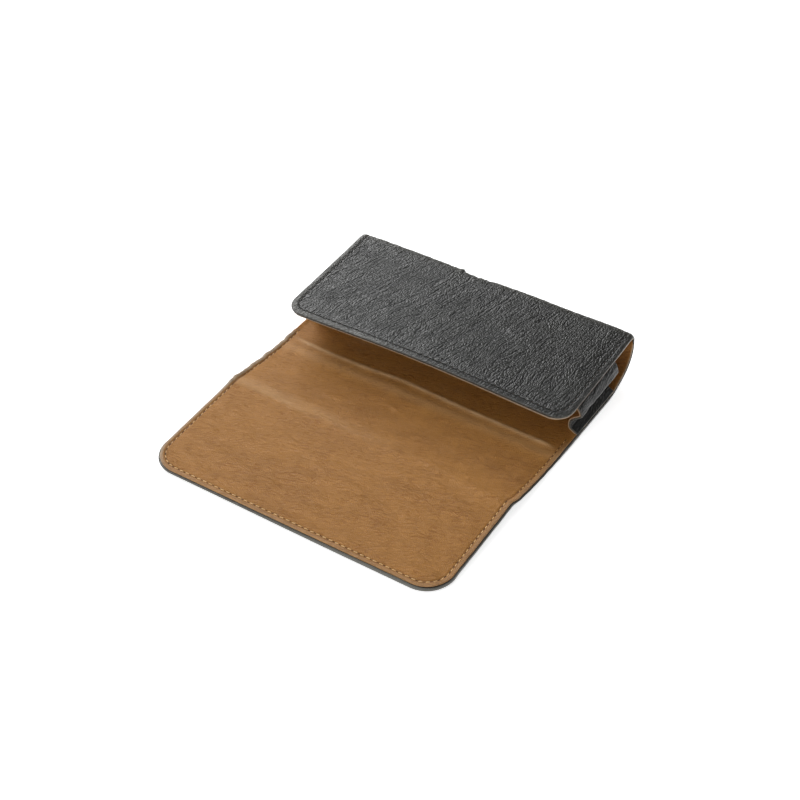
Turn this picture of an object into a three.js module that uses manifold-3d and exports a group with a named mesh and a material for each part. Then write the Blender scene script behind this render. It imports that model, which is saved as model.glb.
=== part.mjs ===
// Horizontal flap pouch of black grained leather with a tan leather lining, lying open on its back.
// Millimetres, +Z up. X runs along the width of the pouch, +Y points from the flap to the closed bottom of the pouch,
// Z = 0 is the surface that the pouch lies on, and the origin is the middle of the footprint.
import * as THREE from "three";
import { mergeVertices } from "three/addons/utils/BufferGeometryUtils.js";
import Module from "manifold-3d";

// ---- driving dimensions ----------------------------------------------------------------------------------
const WIDTH = 140; // pouch, front panel and flap
const BACK_WIDTH = 141; // back panel and spine, a little wider than the front
const Y_SHIFT = 17.1; // from the mouth line to the middle of the footprint

const LEATHER = 1.0; // outer leather
const BOARD = 0.9; // stiffening board
const LINING = 0.65; // lining leather
const GAP = 0.12; // glue line between two layers
const FRONT_LEATHER = 0.75; // the front panel is made of thinner layers
const FRONT_BOARD = 0.6;
const FRONT_LINING = 0.45;
const JOINT_GAP = 0.36; // between two pieces that turn on each other

const BACK_TOP = 2.5; // height of the lining's face over the surface underneath
const MOUTH_Y = 0.0; // lower crease, below the mouth edge
const BACK_END_Y = 46.5; // where the back stops being flat and starts to curl up into the bottom

// the spine: three links between the lower crease and the flap crease, as (y, z) of the lining's face
const PIVOTS = [
  [-0.3, 2.5],
  [-14.6, 2.85],
  [-28.8, 4.15],
  [-42.9, 6.15],
];
const FLAP_EDGE = [-99.6, 2.79]; // near edge of the flap, lining's face
const FLAP_CORNER = 13; // corner radius

// front panel, as the top face of its leather
const FRONT_Z_MOUTH = 19.35; // at y = 0
const FRONT_SLOPE = 0.0545; // rise per millimetre towards the bottom
const FRONT_MOUTH_Y = -0.8; // mouth edge
const FRONT_FAR_Y = 65.2; // fold at the bottom
const FRONT_CORNER = 8.5; // corner radius at the mouth
const FRONT_BOW = 1.8; // the middle of the mouth edge stands this much higher than its ends

// gussets
const GUSSET_NEAR_Y = 13;
const GUSSET_FAR_Y = 47;

// closure: disc magnets in the flap meet steel discs in the front panel
const MAGNET_R = 5.0;
const MAGNET_T = 0.8;
const MAGNET_X = 38;
const MAGNET_FROM_CREASE = 44;
const STEEL_R = 6.0;
const STEEL_T = 0.4;
const STEEL_Y = 43.7;

// seams
const THREAD_R = 0.25;
const FLAP_SEAM_IN = 3.0; // seam to edge on the flap
const FRONT_SEAM_IN = 3.7; // seam to edge on the front panel
const BOARD_IN = 5.2; // the boards end inside the seams

// ---- materials -------------------------------------------------------------------------------------------
const blackLeather = new THREE.MeshStandardMaterial({ color: 0x40423d, roughness: 0.55, metalness: 0 });
const tanLeather = new THREE.MeshStandardMaterial({ color: 0xa3744a, roughness: 0.6, metalness: 0 });
const greyBoard = new THREE.MeshStandardMaterial({ color: 0x8a8478, roughness: 0.9, metalness: 0 });
const blackThread = new THREE.MeshStandardMaterial({ color: 0x1c1c1a, roughness: 0.6, metalness: 0 });
const paleThread = new THREE.MeshStandardMaterial({ color: 0xd8c08c, roughness: 0.6, metalness: 0 });
const nickel = new THREE.MeshStandardMaterial({ color: 0xb8b8ba, roughness: 0.3, metalness: 1 });
const steel = new THREE.MeshStandardMaterial({ color: 0x8f9194, roughness: 0.4, metalness: 1 });

const wasm = await Module();
wasm.setup();

const pouch = new THREE.Group();
pouch.position.set(0, Y_SHIFT, 0);

function add(name, geometry, material) {
  const mesh = new THREE.Mesh(geometry, material);
  mesh.name = name;
  pouch.add(mesh);
  return mesh;
}

// ---- a sheet that follows a profile in Y and Z ------------------------------------------------------------
// profile: points (y, z) of one face, walked so that the other face lies to its right.
// Rows are the profile's points, and each row runs from -half to +half in X.
// deep0 and deep1 are the depths below the face where the sheet starts and ends.
function sheet({ profile, half, deep0, deep1, columns = 1, lift = () => 0 }) {
  const n = profile.length;
  const normal = profile.map((p, i) => {
    const a = profile[Math.max(0, i - 1)],
      b = profile[Math.min(n - 1, i + 1)];
    const dy = b[0] - a[0],
      dz = b[1] - a[1],
      l = Math.hypot(dy, dz);
    return [dz / l, -dy / l]; // to the right of the walk
  });
  const positions = [];
  for (const deep of [deep0, deep1])
    for (let i = 0; i < n; i++)
      for (let c = 0; c <= columns; c++) {
        const h = half(profile[i][0], i),
          x = h * ((2 * c) / columns - 1);
        positions.push(
          x,
          profile[i][0] + normal[i][0] * deep,
          profile[i][1] + normal[i][1] * deep + lift(x, profile[i][0]),
        );
      }
  const at = (side, i, c) => side * n * (columns + 1) + i * (columns + 1) + c;
  const index = [];
  const quad = (a, b, c, d) => index.push(a, b, c, a, c, d);
  for (let i = 0; i < n - 1; i++)
    for (let c = 0; c < columns; c++) {
      quad(at(0, i, c), at(0, i, c + 1), at(0, i + 1, c + 1), at(0, i + 1, c));
      quad(at(1, i, c), at(1, i + 1, c), at(1, i + 1, c + 1), at(1, i, c + 1));
    }
  for (let c = 0; c < columns; c++) {
    quad(at(0, 0, c), at(1, 0, c), at(1, 0, c + 1), at(0, 0, c + 1));
    quad(at(0, n - 1, c), at(0, n - 1, c + 1), at(1, n - 1, c + 1), at(1, n - 1, c));
  }
  for (let i = 0; i < n - 1; i++) {
    quad(at(0, i, 0), at(0, i + 1, 0), at(1, i + 1, 0), at(1, i, 0));
    quad(at(0, i, columns), at(1, i, columns), at(1, i + 1, columns), at(0, i + 1, columns));
  }
  const g = new THREE.BufferGeometry();
  g.setAttribute("position", new THREE.Float32BufferAttribute(positions, 3));
  g.setIndex(index);
  return outward(g);
}

function solid(g) {
  const bare = g.clone();
  for (const name of Object.keys(bare.attributes)) if (name !== "position") bare.deleteAttribute(name);
  const m = mergeVertices(bare, 1e-4);
  return new wasm.Manifold(
    new wasm.Mesh({
      numProp: 3,
      vertProperties: new Float32Array(m.attributes.position.array),
      triVerts: new Uint32Array(m.index.array),
    }),
  );
}

function geometryOf(s) {
  const m = s.getMesh(),
    g = new THREE.BufferGeometry(),
    v = new Float32Array(m.numVert * 3);
  for (let i = 0; i < m.numVert; i++) v.set(m.vertProperties.subarray(i * m.numProp, i * m.numProp + 3), i * 3);
  g.setAttribute("position", new THREE.BufferAttribute(v, 3));
  g.setIndex(new THREE.BufferAttribute(new Uint32Array(m.triVerts), 1));
  g.computeVertexNormals();
  return g;
}

// turns the faces of a closed geometry to point out
function outward(g) {
  const p = g.attributes.position,
    idx = g.index.array;
  let v = 0;
  const a = new THREE.Vector3(),
    b = new THREE.Vector3(),
    c = new THREE.Vector3();
  for (let i = 0; i < idx.length; i += 3) {
    a.fromBufferAttribute(p, idx[i]);
    b.fromBufferAttribute(p, idx[i + 1]);
    c.fromBufferAttribute(p, idx[i + 2]);
    v += a.dot(b.cross(c));
  }
  if (v < 0) for (let i = 0; i < idx.length; i += 3) [idx[i + 1], idx[i + 2]] = [idx[i + 2], idx[i + 1]];
  g.computeVertexNormals();
  return g;
}

// points from a to b that come closer together towards b, where a corner of radius r is rounded
function rows(a, b, r, plain = 1) {
  const sign = Math.sign(b - a),
    out = [];
  const flat = b - sign * r;
  for (let i = 0; i <= plain; i++) out.push(a + ((flat - a) * i) / plain);
  for (let i = 1; i <= 6; i++) out.push(flat + sign * r * Math.sin((i * Math.PI) / 12));
  return out;
}
// half width of a panel whose end at b has corners of radius r
const rounded = (halfWidth, b, r) => (y) => {
  const d = Math.min(r, Math.max(0, Math.abs(b - y)));
  return halfWidth - r + Math.sqrt(Math.max(0, r * r - (r - d) * (r - d)));
};
const along = (p, q, t) => [p[0] + (q[0] - p[0]) * t, p[1] + (q[1] - p[1]) * t];
const distance = (p, q) => Math.hypot(q[0] - p[0], q[1] - p[1]);

// a link between two pivots, set back from both by half the gap between turning pieces
function linkProfile(p, q, backP = JOINT_GAP / 2, backQ = JOINT_GAP / 2) {
  const l = distance(p, q);
  return [along(p, q, backP / l), along(p, q, 1 - backQ / l)];
}
// the lining's face is on the left of a walk towards -Y seen from +X, so walk towards +Y for depth to point down
const downward = (profile) => profile.slice().sort((a, b) => a[0] - b[0]);

const liningDepth = [0, LINING];
const boardDepth = [LINING + GAP, LINING + GAP + BOARD];
const spineLeatherDepth = [LINING + GAP, LINING + GAP + LEATHER];

// ---- back panel ------------------------------------------------------------------------------------------
{
  const profile = [
    [MOUTH_Y - 0.3 + JOINT_GAP / 2, BACK_TOP],
    [BACK_END_Y, BACK_TOP],
  ];
  const half = () => BACK_WIDTH / 2;
  add("back_lining", sheet({ profile, half: () => BACK_WIDTH / 2 - 0.4, deep0: liningDepth[0], deep1: liningDepth[1] }), tanLeather);
  add(
    "back_stiffener",
    sheet({
      profile: [
        [MOUTH_Y + 3.0, BACK_TOP],
        [BACK_END_Y - 2, BACK_TOP],
      ],
      half: () => BACK_WIDTH / 2 - BOARD_IN,
      deep0: boardDepth[0],
      deep1: boardDepth[1] - 0.1,
    }),
    greyBoard,
  );
  add("back_outer_leather", sheet({ profile, half, deep0: boardDepth[1] + 0.02, deep1: BACK_TOP }), blackLeather);
}

// ---- bottom: curls up from the back to the fold of the front panel ------------------------------------------
const BOTTOM_OUTSIDE = [
  [BACK_END_Y + 0.3, 0],
  [49.5, 0.35],
  [53, 1.5],
  [57, 3.2],
  [60.5, 5.1],
  [63.1, 7.6],
  [64.6, 10.6],
  [65.2, 14.0],
  [65.3, 17.0],
  [65.2, 19.3],
];
{
  // walked from the fold down to the back, so that depth points into the pouch
  const profile = BOTTOM_OUTSIDE.slice().reverse();
  add("bottom_outer_leather", sheet({ profile, half: () => WIDTH / 2 + 0.2, deep0: 0, deep1: LEATHER }), blackLeather);
  add(
    "bottom_lining",
    sheet({ profile, half: () => WIDTH / 2 - 0.6, deep0: LEATHER + GAP, deep1: LEATHER + GAP + LINING }),
    tanLeather,
  );
}

// ---- spine -----------------------------------------------------------------------------------------------
["lower", "middle", "upper"].forEach((place, k) => {
  const profile = downward(linkProfile(PIVOTS[k], PIVOTS[k + 1]));
  const half = () => BACK_WIDTH / 2 - (k === 2 ? 0.25 : 0);
  add(`spine_${place}_lining`, sheet({ profile, half: () => half() - 0.3, deep0: liningDepth[0], deep1: liningDepth[1] }), tanLeather);
  add(`spine_${place}_leather`, sheet({ profile, half, deep0: spineLeatherDepth[0], deep1: spineLeatherDepth[1] }), blackLeather);
});

// ---- flap ------------------------------------------------------------------------------------------------
const flapCrease = PIVOTS[3];
const flapLength = distance(flapCrease, FLAP_EDGE);
const onFlap = (s) => along(flapCrease, FLAP_EDGE, s / flapLength);
const flapAngle = Math.atan2(FLAP_EDGE[1] - flapCrease[1], FLAP_EDGE[0] - flapCrease[0]) - Math.PI; // about X
function flapSheet(start, edgeIn, d0, d1) {
  const end = flapLength - edgeIn,
    r = FLAP_CORNER - edgeIn;
  const s = rows(start, end, r);
  const half = rounded(WIDTH / 2 - edgeIn, end, r);
  const profile = s.map(onFlap).reverse(); // towards +Y
  const back = s.slice().reverse();
  return sheet({ profile, half: (y, i) => half(back[i]), deep0: d0, deep1: d1 });
}
{
  add("flap_lining", flapSheet(JOINT_GAP / 2, 0.5, liningDepth[0], liningDepth[1]), tanLeather);
  let board = solid(flapSheet(3.0, BOARD_IN, boardDepth[0], boardDepth[1]));
  const middle = (boardDepth[0] + boardDepth[1]) / 2;
  for (const side of [-1, 1]) {
    const p = onFlap(MAGNET_FROM_CREASE);
    const place = (mesh) => {
      mesh.rotation.x = Math.PI / 2 + flapAngle;
      mesh.position.set(side * MAGNET_X, p[0] + Math.sin(flapAngle) * middle, p[1] - Math.cos(flapAngle) * middle);
      mesh.updateMatrix();
      return mesh;
    };
    const hole = place(new THREE.Mesh(new THREE.CylinderGeometry(MAGNET_R + 0.25, MAGNET_R + 0.25, 4, 28)));
    board = board.subtract(solid(hole.geometry.clone().applyMatrix4(hole.matrix)));
    const magnet = add(
      side < 0 ? "flap_magnet_left" : "flap_magnet_right",
      new THREE.CylinderGeometry(MAGNET_R, MAGNET_R, MAGNET_T, 28),
      nickel,
    );
    place(magnet);
  }
  add("flap_stiffener", geometryOf(board), greyBoard);
  add("flap_outer_leather", flapSheet(JOINT_GAP / 2, 0, boardDepth[1] + GAP, boardDepth[1] + GAP + LEATHER), blackLeather);
}

// ---- front panel -----------------------------------------------------------------------------------------
const frontTop = (y) => FRONT_Z_MOUTH + FRONT_SLOPE * y;
// the mouth edge bows up in the middle, and the bow fades towards the sides and the bottom
const bow = (x, y) => {
  const across = Math.max(0, 1 - (x / (WIDTH / 2)) ** 2),
    deep = Math.min(1, Math.max(0, 1 - y / 55));
  return FRONT_BOW * across * across * deep * deep;
};
function frontSheet(far, edgeIn, d0, d1) {
  const end = FRONT_MOUTH_Y + edgeIn,
    r = FRONT_CORNER - edgeIn;
  const y = rows(far, end, r, 5);
  const half = rounded(WIDTH / 2 - edgeIn, end, r);
  const profile = y.map((v) => [v, frontTop(v)]).reverse();
  return sheet({ profile, half, deep0: d0, deep1: d1, columns: 10, lift: bow });
}
const frontBoard = [FRONT_LEATHER + GAP, FRONT_LEATHER + GAP + FRONT_BOARD];
const frontLining = [frontBoard[1] + GAP, frontBoard[1] + GAP + FRONT_LINING];
{
  add("front_outer_leather", frontSheet(FRONT_FAR_Y, 0, 0, FRONT_LEATHER), blackLeather);
  let board = solid(frontSheet(FRONT_FAR_Y - 8, BOARD_IN, frontBoard[0], frontBoard[1]));
  const middle = (frontBoard[0] + frontBoard[1]) / 2;
  const tilt = Math.atan(FRONT_SLOPE);
  for (const side of [-1, 1]) {
    const x = side * MAGNET_X;
    const place = (mesh) => {
      mesh.rotation.x = Math.PI / 2 + tilt;
      mesh.position.set(x, STEEL_Y + Math.sin(tilt) * middle, frontTop(STEEL_Y) + bow(x, STEEL_Y) - Math.cos(tilt) * middle);
      mesh.updateMatrix();
      return mesh;
    };
    const hole = place(new THREE.Mesh(new THREE.CylinderGeometry(STEEL_R + 0.25, STEEL_R + 0.25, 4, 28)));
    board = board.subtract(solid(hole.geometry.clone().applyMatrix4(hole.matrix)));
    const disc = add(
      side < 0 ? "front_steel_disc_left" : "front_steel_disc_right",
      new THREE.CylinderGeometry(STEEL_R, STEEL_R, STEEL_T, 28),
      steel,
    );
    place(disc);
  }
  add("front_stiffener", geometryOf(board), greyBoard);
  add("front_lining", frontSheet(FRONT_FAR_Y - 0.6, 0.5, frontLining[0], frontLining[1]), tanLeather);
}

// ---- gussets: folded side walls between the back and the front panel ----------------------------------------
// outside face as (x, share of the height), from the front panel down to the back
const GUSSET_OUTSIDE = [
  [67.6, 1.0],
  [69.3, 0.88],
  [70.3, 0.74],
  [70.6, 0.6],
  [70.2, 0.48],
  [68.9, 0.4],
  [67.5, 0.31],
  [66.7, 0.2],
  [66.4, 0.09],
  [66.4, 0.0],
];
const underFront = (y) => frontTop(y) - frontLining[1] - 0.35;
const GUSSET_FOOT = BACK_TOP + 0.2;
const GUSSET_LEATHER = 0.8;
const GUSSET_LINING = 0.5;
function gusset(side, d0, d1, nearIn) {
  const n = GUSSET_OUTSIDE.length;
  const ys = [GUSSET_NEAR_Y + nearIn, GUSSET_FAR_Y];
  const positions = [];
  for (const y of ys) {
    const top = underFront(y),
      outside = GUSSET_OUTSIDE.map(([x, f]) => [x, GUSSET_FOOT + f * (top - GUSSET_FOOT)]);
    for (const d of [d0, d1])
      outside.forEach((p, i) => {
        const a = outside[Math.max(0, i - 1)],
          b = outside[Math.min(n - 1, i + 1)];
        const dx = b[0] - a[0],
          dz = b[1] - a[1],
          l = Math.hypot(dx, dz);
        // ends are cut level with the panels
        const level = i === 0 || i === n - 1;
        positions.push(side * (p[0] + (level ? -d : (dz / l) * d)), y, p[1] + (level ? 0 : (-dx / l) * d));
      });
  }
  const at = (row, face, i) => (row * 2 + face) * n + i;
  const index = [];
  const quad = (a, b, c, d) => index.push(a, b, c, a, c, d);
  for (let i = 0; i < n - 1; i++) {
    quad(at(0, 0, i), at(1, 0, i), at(1, 0, i + 1), at(0, 0, i + 1));
    quad(at(0, 1, i), at(0, 1, i + 1), at(1, 1, i + 1), at(1, 1, i));
    quad(at(0, 0, i), at(0, 0, i + 1), at(0, 1, i + 1), at(0, 1, i));
    quad(at(1, 0, i), at(1, 1, i), at(1, 1, i + 1), at(1, 0, i + 1));
  }
  quad(at(0, 0, 0), at(0, 1, 0), at(1, 1, 0), at(1, 0, 0));
  quad(at(0, 0, n - 1), at(1, 0, n - 1), at(1, 1, n - 1), at(0, 1, n - 1));
  const g = new THREE.BufferGeometry();
  g.setAttribute("position", new THREE.Float32BufferAttribute(positions, 3));
  g.setIndex(index);
  return outward(g);
}
for (const [side, place] of [
  [-1, "left"],
  [1, "right"],
]) {
  add(`gusset_${place}_leather`, gusset(side, 0, GUSSET_LEATHER, 0), blackLeather);
  add(`gusset_${place}_lining`, gusset(side, GUSSET_LEATHER + GAP, GUSSET_LEATHER + GAP + GUSSET_LINING, 0.3), tanLeather);
}

// ---- seams: one run of thread each, lying on the surface ---------------------------------------------------
class Run extends THREE.Curve {
  constructor(points) {
    super();
    this.path = new THREE.CurvePath();
    for (let i = 0; i < points.length - 1; i++) this.path.add(new THREE.LineCurve3(points[i], points[i + 1]));
  }
  getPoint(t, target = new THREE.Vector3()) {
    return target.copy(this.path.getPoint(t));
  }
}
function thread(points, steps, r = THREAD_R) {
  const shape = new THREE.Shape();
  for (let i = 0; i < 6; i++) {
    const a = (i * Math.PI) / 3;
    i ? shape.lineTo(r * Math.cos(a), r * Math.sin(a)) : shape.moveTo(r, 0);
  }
  return new THREE.ExtrudeGeometry(shape, { steps, extrudePath: new Run(points), bevelEnabled: false });
}
// a run round three sides of a panel: up one side, round the end's two corners and back along the other
function roundTheEnd(halfWidth, start, end, r) {
  const sign = Math.sign(end - start),
    out = [];
  const corner = (cx, from, side) => {
    for (let i = 0; i <= 6; i++) {
      const a = ((from + i) * Math.PI) / 12;
      out.push([cx + side * r * Math.cos(a), end - sign * r + sign * r * Math.sin(a)]);
    }
  };
  for (let i = 0; i < 4; i++) out.push([-halfWidth, start + ((end - sign * r - start) * i) / 4]);
  corner(-halfWidth + r, 0, -1);
  for (let i = 1; i < 12; i++) out.push([-halfWidth + r + ((2 * halfWidth - 2 * r) * i) / 12, end]);
  for (let i = 6; i >= 0; i--) {
    const a = (i * Math.PI) / 12;
    out.push([halfWidth - r + r * Math.cos(a), end - sign * r + sign * r * Math.sin(a)]);
  }
  for (let i = 3; i >= 0; i--) out.push([halfWidth, start + ((end - sign * r - start) * i) / 4]);
  return out;
}
{
  const over = THREAD_R + 0.1;
  const flapRun = roundTheEnd(WIDTH / 2 - FLAP_SEAM_IN, 3, flapLength - FLAP_SEAM_IN, FLAP_CORNER - FLAP_SEAM_IN).map(([x, s]) => {
    const p = onFlap(s);
    return new THREE.Vector3(x, p[0] - Math.sin(flapAngle) * over, p[1] + Math.cos(flapAngle) * over);
  });
  add("flap_stitching", thread(flapRun, 90), paleThread);
  const frontRun = roundTheEnd(
    WIDTH / 2 - FRONT_SEAM_IN,
    FRONT_FAR_Y - 4,
    FRONT_MOUTH_Y + FRONT_SEAM_IN,
    FRONT_CORNER - FRONT_SEAM_IN,
  ).map(([x, y]) => new THREE.Vector3(x, y, frontTop(y) + bow(x, y) + over + 0.04));
  add("front_stitching", thread(frontRun, 100), blackThread);
}

export default pouch;
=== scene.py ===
import math

import bpy
import numpy as np
from mathutils import Matrix, Vector


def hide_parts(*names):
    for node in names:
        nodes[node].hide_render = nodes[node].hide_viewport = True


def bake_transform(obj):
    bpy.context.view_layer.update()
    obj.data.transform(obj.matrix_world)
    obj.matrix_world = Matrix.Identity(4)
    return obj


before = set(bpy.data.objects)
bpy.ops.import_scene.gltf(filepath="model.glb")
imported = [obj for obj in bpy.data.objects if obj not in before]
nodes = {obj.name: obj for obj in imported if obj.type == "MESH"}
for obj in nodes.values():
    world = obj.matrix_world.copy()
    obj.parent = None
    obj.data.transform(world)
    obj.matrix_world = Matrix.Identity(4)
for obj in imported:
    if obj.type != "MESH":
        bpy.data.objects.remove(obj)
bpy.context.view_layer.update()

scene = bpy.context.scene

# Everything below is in millimetres in the pouch's own frame: x across, y from the lower crease to the closed
# bottom, z up. YS moves y to the row frame, and put() turns millimetres into metres.
YS = 17.1
HALF = 70.0

MOUTH_HINGE = (64.0, 19.7)


def put(p):
    q = np.array(p, float)
    q[..., 1] += YS
    return q * 0.001


# ------------------------------------------------------------------------------------------------ noise
def _hash(ix, iy, seed):
    h = (ix * 374761393 + iy * 668265263 + seed * 144269504) & 0xFFFFFFFF
    h = ((h ^ (h >> 13)) * 1274126177) & 0xFFFFFFFF
    return (h ^ (h >> 16)) & 0xFFFFFFFF


def gn(x, y, seed=0):
    """Gradient noise from about -1 to 1."""
    x, y = np.broadcast_arrays(np.asarray(x, float), np.asarray(y, float))
    x0, y0 = np.floor(x), np.floor(y)
    fx, fy = x - x0, y - y0
    ix, iy = x0.astype(np.int64) + 4096, y0.astype(np.int64) + 4096

    def g(dx, dy):
        a = _hash(ix + dx, iy + dy, seed) * (2 * np.pi / 4294967296.0)
        return np.cos(a) * (fx - dx) + np.sin(a) * (fy - dy)

    u = fx**3 * (fx * (fx * 6 - 15) + 10)
    v = fy**3 * (fy * (fy * 6 - 15) + 10)
    return 1.55 * ((g(0, 0) * (1 - u) + g(1, 0) * u) * (1 - v) + (g(0, 1) * (1 - u) + g(1, 1) * u) * v)


def ss(a, b, x):
    t = np.clip((np.asarray(x, float) - a) / (b - a), 0, 1)
    return t * t * (3 - 2 * t)


def bell(x, mid, width):
    return np.exp(-(((np.asarray(x, float) - mid) / width) ** 2))


def creased(x, s, seed=11):
    """Creased grain of the black leather, from about -1 in a crease to 1 on a ridge. The creases run from the mouth to the fold, and fan a little."""
    a = np.radians(73.0)
    u, v = x * np.cos(a) + s * np.sin(a), -x * np.sin(a) + s * np.cos(a) - 0.00154 * x * s
    v = v + 1.1 * gn(u / 19, v / 16, seed + 1) + 0.22 * gn(u / 6, v / 5, seed + 2)
    u = u + 1.2 * gn(u / 6 + 7, v / 4, seed + 3)
    long = gn(u / 13.5, v / 2.0, seed + 4)
    small = gn(u / 5.0 + 31, v / 1.35, seed + 5)
    folds = 1 - 2.4 * np.minimum(np.abs(long), 0.6)  # 1 in the middle of a crease
    patch = 0.72 + 0.3 * gn(x / 11, s / 9, seed + 6)
    return -folds * 0.66 * patch + 0.24 * small + 0.25


# ------------------------------------------------------------------------------------------------ profiles
def catmull(points, per=24):
    p = np.array(points, float)
    p = np.vstack([2 * p[0] - p[1], p, 2 * p[-1] - p[-2]])
    out = []
    for i in range(1, len(p) - 2):
        p0, p1, p2, p3 = p[i - 1 : i + 3]
        t = [0, 0, 0, 0]
        for k, (a, b) in enumerate(((p0, p1), (p1, p2), (p2, p3))):
            t[k + 1] = t[k] + max(1e-6, np.linalg.norm(b - a)) ** 0.5
        for w in np.linspace(t[1], t[2], per, endpoint=False):
            a1 = (t[1] - w) / (t[1] - t[0]) * p0 + (w - t[0]) / (t[1] - t[0]) * p1
            a2 = (t[2] - w) / (t[2] - t[1]) * p1 + (w - t[1]) / (t[2] - t[1]) * p2
            a3 = (t[3] - w) / (t[3] - t[2]) * p2 + (w - t[2]) / (t[3] - t[2]) * p3
            b1 = (t[2] - w) / (t[2] - t[0]) * a1 + (w - t[0]) / (t[2] - t[0]) * a2
            b2 = (t[3] - w) / (t[3] - t[1]) * a2 + (w - t[1]) / (t[3] - t[1]) * a3
            out.append((t[2] - w) / (t[2] - t[1]) * b1 + (w - t[1]) / (t[2] - t[1]) * b2)
    out.append(p[-2])
    return np.array(out)


# outer face of the skin from the mouth edge over the fold and down under the back, as (y, z)
WRAP = catmull(
    [(-0.8, 19.31), (20, 20.44), (40, 21.60), (54, 22.55), (61.3, 23.25), (64.1, 23.0), (65.7, 21.7), (66.2, 19.6),
     (66.2, 17), (65.8, 14), (64.9, 10.6), (63.1, 7.6), (60.5, 5.1), (57, 3.2), (53, 1.5), (49.5, 0.35), (46.0, 0.02), (43, 0), (30, 0), (20, 0)]
)
_step = np.r_[0, np.cumsum(np.linalg.norm(np.diff(WRAP, axis=0), axis=1))]
WRAP_LENGTH = float(_step[-1])
_tan = np.gradient(WRAP, _step, axis=0)
_tan /= np.linalg.norm(_tan, axis=1)[:, None]


def wrap(t):
    """(y, z, outward y, outward z) of the wrapped skin at arc length t."""
    y, z = np.interp(t, _step, WRAP[:, 0]), np.interp(t, _step, WRAP[:, 1])
    dy, dz = np.interp(t, _step, _tan[:, 0]), np.interp(t, _step, _tan[:, 1])
    n = np.hypot(dy, dz)
    return y, z, -dz / n, dy / n


T_FOLD = float(_step[np.argmin(np.abs(WRAP[:, 0] - 65.7) + np.abs(WRAP[:, 1] - 21.7))])  # around the fold
T_BACK = float(_step[np.argmin(np.abs(WRAP[:, 0] - 46.0) + np.abs(WRAP[:, 1] - 0.02))])  # where the back starts


def bow(x, y):
    return 1.8 * np.maximum(0, 1 - (x / HALF) ** 2) ** 2 * np.clip(1 - y / 55.0, 0, 1) ** 2


# tan face of the back, the strip and the flap, as height over y
_f = catmull([(20, 2.5), (9, 2.5), (4, 2.5), (0.5, 2.5), (-4, 2.42), (-9, 2.4), (-14.6, 2.8), (-20, 3.2), (-28.8, 4.2),
              (-36, 5.2), (-40.5, 5.95), (-43.5, 6.17), (-47.5, 5.95), (-60, 5.3), (-80, 4.05), (-99.6, 2.79), (-102, 2.65)])[::-1]


def tan_base(y):
    return np.interp(y, _f[:, 0], _f[:, 1])


# half width of the outer leather along y: the flap is a little narrower than the strip and the back
def width_at(y):
    return 69.75 + 0.75 * ss(-43.5, -36.5, y)


FLAP_END = -99.6
FLAP_R = 13.0


def flap_d(x, y, inset=0.0):
    """Distance from the outline of the flap, strip and back, inwards."""
    x, y = np.broadcast_arrays(np.asarray(x, float), np.asarray(y, float))
    w = width_at(y) - inset
    e = y - (FLAP_END + inset)
    r = FLAP_R - inset
    qx, qy = np.abs(x) - (w - r), r - e
    d = np.minimum(w - np.abs(x), e)
    corner = (qx > 0) & (qy > 0)
    return np.maximum(0, np.where(corner, r - np.hypot(qx, qy), d))


FRONT_R = 8.5


def front_d(x, t, inset=0.0):
    x, t = np.broadcast_arrays(np.asarray(x, float), np.asarray(t, float))
    r = FRONT_R - inset
    w = HALF - inset
    e = t - inset
    qx, qy = np.abs(x) - (w - r), r - e
    d = np.minimum(w - np.abs(x), e)
    corner = (qx > 0) & (qy > 0)
    return np.maximum(0, np.where(corner, r - np.hypot(qx, qy), d))


def edge_round(d, r, p=2.4):
    """1 inside, falling to 0 on the outline over r, as a rounded cut edge does."""
    k = np.clip(d / r, 0, 1)
    return np.maximum(0, 1 - (1 - k) ** p) ** (1 / p)


# ------------------------------------------------------------------------------------------------ mesh making
EDGE = [0, 0.03, 0.09, 0.18, 0.3, 0.45, 0.65, 0.95, 1.3, 1.65, 2.0, 2.3, 2.55, 2.8, 3.05, 3.3, 3.6, 3.95, 4.35, 4.8, 5.4]


def spread(edge, total, step):
    """Distances from 0 to total: those of edge first, then even ones."""
    n = max(1, int(round((total - edge[-1]) / step)))
    return np.r_[edge, edge[-1] + (total - edge[-1]) * np.arange(1, n + 1) / n]


def columns(step, half=70.0, edge=EDGE):
    a = spread(edge, half, step)
    return np.r_[-(half - a), (half - a)[::-1][1:]] / half


def normals_of(g):
    du = np.gradient(g, axis=0)
    dv = np.gradient(g, axis=1)
    n = np.cross(du, dv)
    return n / np.maximum(1e-12, np.linalg.norm(n, axis=2))[..., None]


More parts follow.
